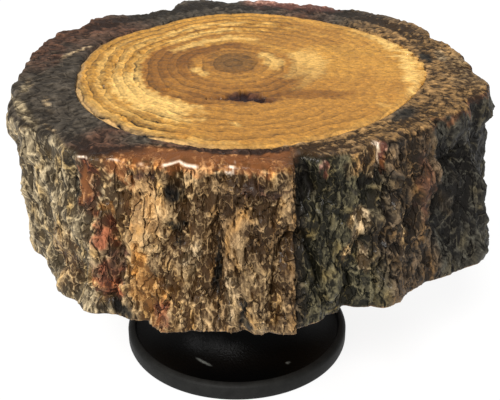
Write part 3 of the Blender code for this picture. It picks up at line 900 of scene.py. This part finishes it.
def make_bark(look):
    """One piece of bark: sawn ring, worn rim, wall and underside."""
    bearings = np.arange(look.bark_columns) * 360.0 / look.bark_columns
    rows = bark_surface(bearings, look)
    radius, level = [np.stack([row[part] for row in rows]) for part in (0, 1)]
    tilt, share = [np.array([row[part] for row in rows])[:, None] for part in (2, 3)]
    upward = np.sin(np.radians(tilt))
    bearing = np.broadcast_to(bearings, radius.shape)
    places = round_slice(bearing, radius, level)
    flakes, wall_light = fine_bark(places, stops_round(RIBBED, bearing), look)
    torn, cut_light = cut_relief(places, bearing)
    sawn = span_ease(np.abs(upward), 0.55, 0.95)
    worn, glazed = rim_wear(bearing, tilt)
    height = (1.0 - sawn) * flakes * stops_round(FLAKED, bearing)
    height = height + sawn * torn * span_ease(share, 0.0, 0.12)
    height = np.where(upward < -0.9, -np.abs(height) * 0.4, height)
    height[[0, 1, -1]] = 0.0
    height *= (1.0 - 0.75 * worn) * (1.0 - 0.9 * glazed)
    height *= 0.35 + 0.65 * span_ease(level, UNDER + 0.2, UNDER + 1.6)
    height *= 1.0 - 0.75 * (1.0 - sawn) * span_ease(level, TOP - 2.2, TOP - 0.9)
    places = round_slice(bearing, radius + height * np.cos(np.radians(tilt)), level + height * upward)
    colours = bark_colours(bearing, level, places, share, sawn, upward)
    # Pale strokes on the glazed rim, painted highlights in place of the lacquer's glints, that also
    # lighten the relief share
    pale = glazed * inside(tilt, *PAINTED_GLINT_TILT, 4.0)
    pale = pale * np.clip(0.9 + 1.8 * noise_at(places, 0.5, 161.0), 0.2, 0.9)
    colours = mix(colours, TONES["painted_glint"], pale)
    # Painted shade darkens the bark below the outline that the ribs reach
    light = wall_light + (cut_light - wall_light) * sawn - bark_shade(bearing, level, radius, upward)
    light = light + (1.0 - sawn) * mounds(WALL_LIGHT, bearing, level, 2) + 0.8 * pale
    mesh = closed_grid("bark", places)
    calm = np.maximum(worn, 0.85 * sawn) + 0.5 * glazed
    add_numbers(mesh, relief=np.clip(light, 0.0, 1.0), worn=calm, polish=worn)
    add_colours(mesh, hollow_tone=colours[..., 0, :], ridge_tone=colours[..., 1, :])
    add_piece("bark", mesh, bark_finish(look), ("bark_slice",), 65.0)


def wood_tones(places, share):
    """Colours of the sawn wood, with its bands and named marks."""
    flat = places.copy()
    flat[..., 2] = 0.0
    light = 0.98 + 0.26 * noise_at(flat, 3.2, 101.0) + 0.2 * noise_at(flat, 0.9, 105.0)
    colours = np.array(WOOD_TONES["sap"]) * light[..., None]
    ragged = 0.3 * noise_at(flat, 1.5, 111.0) + 0.3 * noise_at(flat, 0.55, 121.0)
    from_pith = places[..., :2] - PITH
    bearing = np.degrees(np.arctan2(from_pith[..., 1], from_pith[..., 0]))
    loose_bearing = bearing + 26.0 * noise_at(flat, 2.4, 115.0) + 12.0 * noise_at(flat, 0.8, 117.0)
    loose_share = share + 0.10 * ragged
    for low, high, middle, half_width, tone, strength in WOOD_BANDS:
        across = np.abs(turned_from(loose_bearing, middle))
        amount = inside(loose_share, low, high, 0.022) * inside(across, -999.0, half_width, 12.0)
        colours = mix(colours, WOOD_TONES[tone], strength * amount)
    for x, y, half_width, half_depth, tone, strength in WOOD_MARKS:
        across = (places[..., 0] - x) / half_width
        along = (places[..., 1] - y) / half_depth
        amount = strength * spot(across, along, 0.5, 1.2, ragged)
        colours = mix(colours, WOOD_TONES[tone], amount)
    colours = colours * (1.0 + 0.3 * noise_at(flat, (0.42, 0.3, 1.0), 128.0))[..., None]
    fringe = span_ease(share, 0.965, 0.99)
    leftward = span_ease(-places[..., 0], -4.0, 8.0)
    return mix(colours, WOOD_TONES["fringe"], fringe * (0.12 + 0.5 * leftward))


def crack_depth(places):
    """How deep in the crack each place is, from 0 to 1."""
    depth = np.zeros(places.shape[:-1])
    ragged = 0.16 * noise_at(places, 0.7, 131.0)
    for x, y, end_x, end_y, half_width, darkness in CRACK:
        run = np.array([end_x - x, end_y - y])
        from_start = places[..., :2] - np.array([x, y])
        along = np.clip(from_start @ run / (run @ run), 0.0, 1.0)
        apart = np.linalg.norm(from_start - along[..., None] * run, axis=-1) + ragged
        taper = half_width * (1.0 - 0.5 * np.abs(2.0 * along - 1.0))
        depth = np.maximum(depth, darkness * (1.0 - span_ease(apart, 0.5 * taper, 1.6 * taper)))
    return depth


def chip_depth(places):
    """How deep each place lies in a torn chip, in millimetres."""
    depth = np.zeros(places.shape[:-1])
    ragged = 0.35 * noise_at(places, 0.45, 141.0)
    for x, y, half_length, half_width, deepest in CHIPS:
        across = (places[..., 0] - x) / half_length
        along = (places[..., 1] - y) / half_width
        depth = np.maximum(depth, deepest * spot(across, along, 0.55, 1.1, ragged))
    return depth


def torn_edge(bearings):
    """The sawn face's outline: a little ragged all round, and toothed at the right."""
    radius = outline(WOOD_EDGE, bearings)
    rim = round_slice(bearings, radius, TOP)
    ragged = 0.1 * noise_at(rim, 0.55, 151.0) + 0.2 * noise_at(rim, 1.4, 157.0)
    torn = np.clip(1.0 - np.abs(turned_from(bearings, TEETH_BEARING)) / TEETH_SPREAD, 0.0, 1.0)
    teeth = ridges_at(rim, 0.55, 3.2, 163.0) ** 1.5
    ragged += np.clip(2.0 * torn, 0.0, 1.0) * (TEETH_LENGTH * teeth - 0.6)
    return round_slice(bearings, radius + ragged, TOP)


def wood_under(bearings, look):
    """Rows down the wood's hidden side, over its sawn underside and up into the stud's bore."""
    radius = outline(WOOD_EDGE, bearings) + WOOD_SIDE_GAP
    rows = [round_slice(bearings, radius, level) for level in (TOP - 0.7, UNDER + 0.7)]
    outer = round_slice(bearings, radius, UNDER)
    bore = round_point((0.0, 0.0), bearings, BORE_RADIUS, UNDER)
    for part in np.linspace(0.0, 1.0, look.under_rows):
        row = outer + (bore - outer) * part
        row[:, 2] = UNDER + 0.05 * np.abs(noise_at(row * np.array([0.35, 2.6, 1.0]), 1.0, 171.0))
        rows.append(row)
    rows.append(bore + np.array([0.0, 0.0, SLICE_BORE_TOP - UNDER]))
    return np.stack(rows)


def make_wood(look):
    """The wood: a sawn face with raised rings, chips and a crack, a hidden side and an underside."""
    bearings = np.arange(look.wood_columns) * 360.0 / look.wood_columns
    shares = np.concatenate([np.linspace(0.012, 0.985, look.wood_rows), [0.993, 1.0]])
    pith = np.array([*PITH, TOP])
    face = pith + (torn_edge(bearings) - pith) * shares[:, None, None]
    share = np.broadcast_to(shares[:, None], face.shape[:-1])
    ring, strength, height, stain = wood_relief(face, share)
    face[..., 2] = TOP + height
    lower = wood_under(bearings, look)
    rest = np.zeros(lower.shape[:-1])
    under_ring = np.linalg.norm(lower[..., :2] - PITH, axis=-1) / 17.0 * RING_COUNT
    mesh = closed_grid("wood", np.concatenate([face, lower]), capped=True)
    add_numbers(
        mesh, ring=np.concatenate([ring, under_ring]),
        ring_strength=np.concatenate([strength, rest + 0.6]), stain=np.concatenate([stain, rest]),
    )
    tones = np.concatenate([wood_tones(face, share), wood_tones(lower, rest)])
    add_colours(mesh, wood_tone=tones)
    add_piece("wood", mesh, wood_finish(look), ("bark_slice",), 50.0)


def wood_relief(face, share):
    """Ring number, ring strength, height and darkening over the sawn face: stain and painted shade in
    its pits, chips and crack.
    """
    flat = face.copy()
    flat[..., 2] = 0.0
    ring = share * RING_COUNT + 0.5 * noise_at(flat, 3.4, 181.0) + 0.1 * noise_at(flat, 1.1, 191.0)
    left = span_ease(-face[..., 0], 3.0, 8.5)
    back = span_ease(face[..., 1], 6.0, 11.0) * span_ease(-face[..., 0], -9.0, -3.0)
    outer = span_ease(share, 0.5, 0.62)
    calm = np.exp(-np.sum((face[..., :2] - CALM_PLACE) ** 2, axis=-1) / 18.0)
    rough = np.clip(np.maximum(left, 0.8 * back) * outer, 0.0, 1.0) * (1.0 - 0.85 * calm)
    from_heart = np.linalg.norm(face[..., :2] - HEART_MIDDLE, axis=-1)
    heart = 1.0 - span_ease(from_heart, HEART_RADIUS, HEART_RADIUS + 2.0)
    front = span_ease(-face[..., 1], 8.0, 12.0)
    behind = span_ease(face[..., 1], 5.0, 9.0)
    strength = 0.3 + 0.5 * heart + 0.9 * rough + 0.3 * behind + 0.45 * front
    part = ring % 1.0
    ridge = span_ease(part, 0.0, 0.72) * (1.0 - span_ease(part, 0.8, 0.97))
    grain = noise_at(flat, 0.45, 201.0)
    broken = 0.85 + 0.6 * noise_at(flat, 2.6, 211.0)
    height = rough * (RING_HEIGHT * ridge * np.clip(broken, 0.4, 1.0) - 0.12) + GRAIN_HEIGHT * grain
    height += 0.05 * (1.0 - rough) * noise_at(flat, (0.3, 0.9, 1.0), 221.0)
    pits = span_ease(noise_at(flat, 0.5, 231.0), 0.45, 0.56) * rough
    chips = chip_depth(flat)
    crack = crack_depth(flat)
    height -= PIT_DEPTH * pits + chips + CRACK_DEPTH * crack
    height -= OUTER_DROP * span_ease(share, 0.975, 1.0)
    # Pits, chips and the crack darken with their depth: partly stain, partly painted shade
    stain = np.clip(0.45 * pits + 1.1 * chips + 1.05 * crack, 0.0, 0.97)
    return ring, strength, np.minimum(height, 0.0), stain


def gleams(bearing, radius):
    """Painted reflections: small pale arcs on the foot's flare."""
    amount = np.zeros(bearing.shape)
    for middle, distance, half_width, half_depth, slant in PAINTED_REFLECTIONS:
        turn = turned_from(bearing, middle)
        along = (radius - distance - slant * turn) / half_depth
        amount = np.maximum(amount, spot(turn / half_width, along, 0.5, 1.1))
    return amount


def foot_profile():
    """The foot's outside from the top of its flange to its underside, in millimetres."""
    flange_level = FOOT_TOP - FLANGE_EDGE
    points = [*FLANGE_CORNER, (FLANGE_RADIUS, flange_level)]
    for step in range(1, FOOT_ARC_STEPS + 1):
        turn = math.pi / 2.0 * step / FOOT_ARC_STEPS
        radius = FLANGE_RADIUS - (FLANGE_RADIUS - NECK_RADIUS) * math.sin(turn)
        points.append((radius, NECK_HEIGHT + (flange_level - NECK_HEIGHT) * math.cos(turn)))
    for step in range(1, FLARE_ARC_STEPS + 1):
        turn = math.pi / 2.0 * step / FLARE_ARC_STEPS
        radius = FLARE_RADIUS - (FLARE_RADIUS - NECK_RADIUS) * math.cos(turn)
        points.append((radius, NECK_HEIGHT - (NECK_HEIGHT - FLARE_HEIGHT) * math.sin(turn)))
    return points + list(FOOT_BEAD)


def make_foot(look):
    """The foot, turned finely, with a blind bore for the stud."""
    bore = [(AXIS_GAP, FOOT_BORE_BOTTOM), (BORE_RADIUS, FOOT_BORE_BOTTOM), (BORE_RADIUS, FOOT_TOP)]
    bearings = np.arange(look.foot_columns) * 360.0 / look.foot_columns
    radii, levels = zip(*bore, *foot_profile())
    bearing, radius = np.meshgrid(bearings, radii)
    level = np.meshgrid(bearings, levels)[1]
    mesh = closed_grid("turned_foot", round_point((0.0, 0.0), bearing, radius, level), capped=True)
    on_flare = (level < FLARE_TOP) & (level > FLARE_HEIGHT)
    dull = span_ease(radius, FLARE_RADIUS, DULL_RADIUS) * (level < BEAD_TOP)
    add_numbers(mesh, gleam=gleams(bearing, radius) * on_flare, dull=dull)
    add_piece("turned_foot", mesh, paint_finish(look), ("foot",), 35.0)


def make_floor(look):
    """A wide pale floor."""
    reach = look.floor_reach
    mesh = bpy.data.meshes.new("floor")
    corners = [(-reach, -reach, 0.0), (reach, -reach, 0.0), (reach, reach, 0.0), (-reach, reach, 0.0)]
    mesh.from_pydata(corners, [], [(0, 1, 2, 3)])
    tree = Tree("pale_floor")
    colour = (*[part * (1.0 - look.floor_glow) for part in look.floor_colour], 1.0)
    glow = {"Emission Color": (*WHITE, 1.0), "Emission Strength": look.floor_glow}
    mesh.materials.append(tree.finish(colour, 0.9, constants=glow))
    add_object("floor", mesh)


def add_light(name, place, power, size, colour):
    """A soft square light that faces the slice."""
    data = bpy.data.lights.new(name, "AREA")
    data.energy = power
    data.size = size
    data.color = colour
    light = add_object(name, data)
    light.location = place
    light.rotation_euler = (Vector(AIM) - Vector(place)).to_track_quat("-Z", "Y").to_euler()


def add_camera():
    """The photograph's viewpoint."""
    data = bpy.data.cameras.new("camera")
    data.sensor_width = SENSOR_WIDTH
    data.lens = SENSOR_WIDTH * FOCAL_PIXELS / IMAGE_WIDTH
    data.clip_start = NEAREST_SEEN
    camera = add_object("camera", data)
    camera.location = [value * MM for value in CAMERA_PLACE]
    camera.rotation_euler = Euler((math.radians(90.0 - CAMERA_TILT), 0.0, 0.0))
    bpy.context.scene.camera = camera


def colour_property(name, description, default):
    """A colour that a user may change."""
    return bpy.props.FloatVectorProperty(
        name=name, description=description, default=default, subtype="COLOR", size=3, min=0.0, max=1.0
    )


def count_property(name, description, default):
    """A whole number that a user may change."""
    return bpy.props.IntProperty(name=name, description=description, default=default, min=3)


def share_property(name, description, default):
    """A number from 0 to 2 that a user may change."""
    return bpy.props.FloatProperty(
        name=name, description=description, default=default, min=0.0, max=2.0, subtype="FACTOR"
    )


class SliceLook(bpy.types.PropertyGroup):
    """Fineness and gloss of the bark and the wood."""

    bark_columns: count_property("Bark Columns", "Points round the bark", 1000)
    wall_rows: count_property("Wall Rows", "Rows of points down the bark", 64)
    cut_rows: count_property("Cut Rows", "Rows of points over the bark's sawn ring", 15)
    rim_rows: count_property("Rim Rows", "Rows of points over the rim", 6)
    wood_columns: count_property("Wood Columns", "Points round the wood", 760)
    wood_rows: count_property("Wood Rows", "Rows of points over the sawn face", 92)
    under_rows: count_property("Underside Rows", "Rows of points over the sawn underside", 24)
    bark_relief: share_property("Bark Relief", "Strength of the flakes and curls", 1.0)
    bark_gloss: share_property("Bark Roughness", "Lowest roughness of the lacquered bark", 0.42)
    wood_gloss: share_property("Wood Roughness", "Lowest roughness of the lacquered wood", 0.38)


class FootLook(bpy.types.PropertyGroup):
    """Fineness and paint of the foot."""

    foot_columns: count_property("Foot Columns", "Points round the foot", 256)
    paint_colour: colour_property("Paint", "Black paint inside the rim", (0.001, 0.001, 0.001))
    rim_colour: colour_property("Rim", "Dull paint on the rim", (0.016, 0.016, 0.015))
    # The pale arcs on the flare are painted reflections
    gleam_colour: colour_property("Painted Reflection", "Pale arcs on the flare", (0.110, 0.115, 0.105))


class StageLook(bpy.types.PropertyGroup):
    """The floor and the lights."""

    floor_reach: bpy.props.FloatProperty(
        name="Floor Reach", description="Half the floor's width", default=3.0, unit="LENGTH"
    )
    floor_colour: colour_property("Floor", "Colour of the floor", (0.98, 0.98, 0.98))
    floor_glow: share_property("Floor Glow", "How much of the floor's white is its own light", 0.86)
    key_power: bpy.props.FloatProperty(
        name="Key Light", description="Power of the main light", default=17.5, min=0.0, unit="POWER"
    )
    window_power: bpy.props.FloatProperty(
        name="Windows", description="Power of each small light on the left", default=3.6, min=0.0,
        unit="POWER",
    )
    sky: share_property("Sky", "Brightness of the light from all round", 0.42)


class BRANCH_OT_bark(bpy.types.Operator):
    """Make the bark all round the slice"""

    bl_idname = "branch.make_bark"
    bl_label = "Make Bark"

    def execute(self, context):
        make_bark(context.scene.slice_look)
        return {"FINISHED"}


class BRANCH_OT_wood(bpy.types.Operator):
    """Make the sawn wood inside the bark"""

    bl_idname = "branch.make_wood"
    bl_label = "Make Wood"

    def execute(self, context):
        make_wood(context.scene.slice_look)
        return {"FINISHED"}


class BRANCH_OT_foot(bpy.types.Operator):
    """Make the turned foot and finish the stud inside it"""

    bl_idname = "branch.make_foot"
    bl_label = "Make Foot"

    def execute(self, context):
        make_foot(context.scene.foot_look)
        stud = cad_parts["fixing_stud"]
        stud.data.materials.clear()
        stud.data.materials.append(steel_finish())
        return {"FINISHED"}


class BRANCH_OT_stage(bpy.types.Operator):
    """Set the floor, the lights and the camera"""

    bl_idname = "branch.set_stage"
    bl_label = "Set Stage"

    def execute(self, context):
        look = context.scene.stage_look
        make_floor(look)
        for name, place, power, share, width, colour in LIGHTS:
            add_light(name, place, share * getattr(look, power), width, colour)
        world = bpy.data.worlds.new("studio")
        world.use_nodes = True
        world.node_tree.nodes["Background"].inputs["Color"].default_value = (*WHITE, 1.0)
        world.node_tree.nodes["Background"].inputs["Strength"].default_value = look.sky
        context.scene.world = world
        context.scene.view_settings.view_transform = "Standard"
        add_camera()
        return {"FINISHED"}


class BRANCH_PT_panel(bpy.types.Panel):
    """Sizes, colours and the steps that make the slice"""

    bl_label = "Branch Slice"
    bl_idname = "BRANCH_PT_panel"
    bl_space_type = "VIEW_3D"
    bl_region_type = "UI"
    bl_category = "Branch Slice"

    def draw(self, context):
        for look in (context.scene.slice_look, context.scene.foot_look, context.scene.stage_look):
            for name in look.__annotations__:
                self.layout.prop(look, name)
        for operator in OPERATORS:
            self.layout.operator(operator.bl_idname)


OPERATORS = (BRANCH_OT_stage, BRANCH_OT_bark, BRANCH_OT_wood, BRANCH_OT_foot)
LOOKS = {"slice_look": SliceLook, "foot_look": FootLook, "stage_look": StageLook}
CLASSES = (*LOOKS.values(), *OPERATORS, BRANCH_PT_panel)


def register():
    """Register the classes and hang the looks on the scene."""
    for each in CLASSES:
        bpy.utils.register_class(each)
    for name, look in LOOKS.items():
        setattr(bpy.types.Scene, name, bpy.props.PointerProperty(type=look))


def unregister():
    """Take the looks off the scene and unregister the classes."""
    for name in LOOKS:
        delattr(bpy.types.Scene, name)
    for each in reversed(CLASSES):
        bpy.utils.unregister_class(each)


def main():
    """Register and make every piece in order."""
    register()
    bpy.ops.branch.set_stage()
    bpy.ops.branch.make_bark()
    bpy.ops.branch.make_wood()
    bpy.ops.branch.make_foot()


if __name__ == "__main__":
    main()
